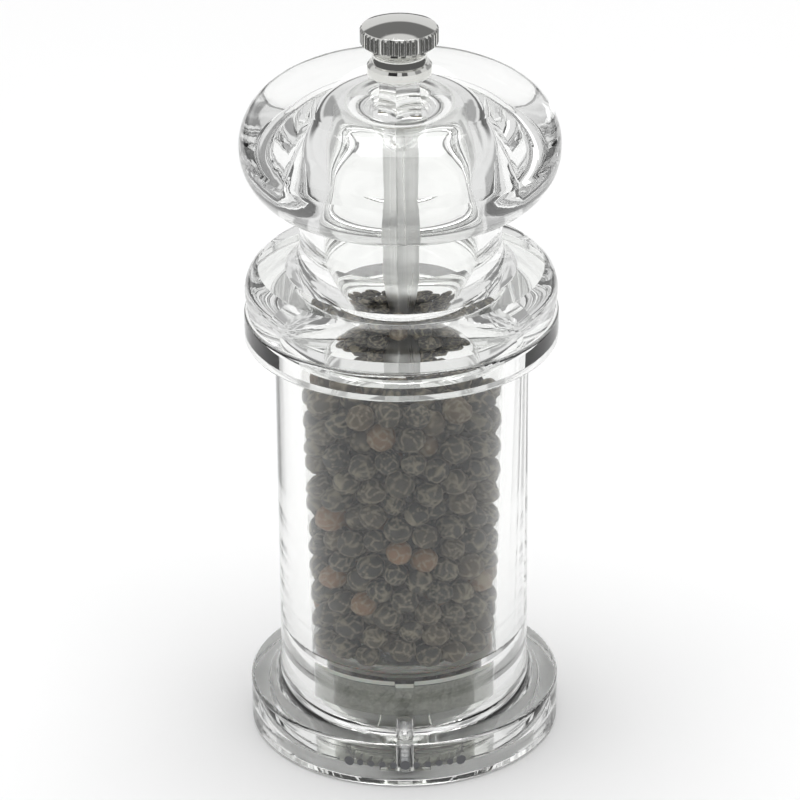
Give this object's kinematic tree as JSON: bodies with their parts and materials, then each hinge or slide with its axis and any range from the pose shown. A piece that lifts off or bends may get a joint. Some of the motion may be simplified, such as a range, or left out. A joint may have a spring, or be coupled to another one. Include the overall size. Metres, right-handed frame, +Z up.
{
  "type": "pepper mill",
  "caption": "Clear acrylic pepper mill: turning head with fluted chrome adjusting knob, straight chamber full of peppercorns, steel burr grinder in a round foot.",
  "frame": {"origin": "centre of the foot's underside, on the plane it stands on", "axes": "+Z up along the spindle; -Y is the front, where the mechanism's locating key is; +X to the right seen from the front"},
  "size_m": [0.0578, 0.0576, 0.14],
  "materials": {
    "clear_acrylic": "clear polished acrylic",
    "clear_polycarbonate": "clear moulded polycarbonate",
    "natural_nylon": "natural nylon",
    "burr_steel": "hardened carbon steel, satin grey",
    "screw_steel": "zinc plated steel",
    "spring_steel": "bright spring steel",
    "aluminium_bar": "drawn aluminium",
    "chromed_zinc": "chrome plated die-cast zinc",
    "insert_brass": "turned brass",
    "peppercorn": "dried black peppercorns"
  },
  "bodies": {
    "body": {"mill_body": "clear_acrylic", "mechanism_housing": "clear_polycarbonate", "bearing_spider": "natural_nylon", "stator_ring": "burr_steel", "bottom_bridge": "clear_polycarbonate", "bridge_screws": "screw_steel", "bridge_bush": "natural_nylon", "peppercorns": "peppercorn"},
    "drive_bush": {"spindle_bush": "natural_nylon", "rotor_spring": "spring_steel"},
    "spindle": {"spindle": "aluminium_bar", "rotor": "burr_steel", "rotor_washer": "spring_steel", "retaining_clip": "spring_steel", "spring_washer": "spring_steel"},
    "head": {"head": "clear_acrylic"},
    "knob": {"knob": "chromed_zinc", "knob_insert": "insert_brass"}
  },
  "joints": [
    {"name": "grind_turn", "type": "hinge", "parent": "body", "child": "drive_bush", "pos_m": [0, 0, 0.021], "axis": [0, 0, 1], "continuous": true},
    {"name": "grind_adjust", "type": "slide", "parent": "drive_bush", "child": "spindle", "axis": [0, 0, 1], "range_m": [-0.0009, 0.0006], "deforming": ["rotor_spring"]},
    {"name": "head_lift", "type": "slide", "parent": "drive_bush", "child": "head", "axis": [0, 0, 1], "range_m": [0, 0.065]},
    {"name": "knob_turn", "type": "hinge", "parent": "head", "child": "knob", "pos_m": [0, 0, 0.135], "axis": [0, 0, 1], "range_deg": [-310, 464]}
  ],
  "couplings": [
    {"joint": "knob_turn", "follows": "grind_adjust", "rad_per_m": -8976}
  ]
}
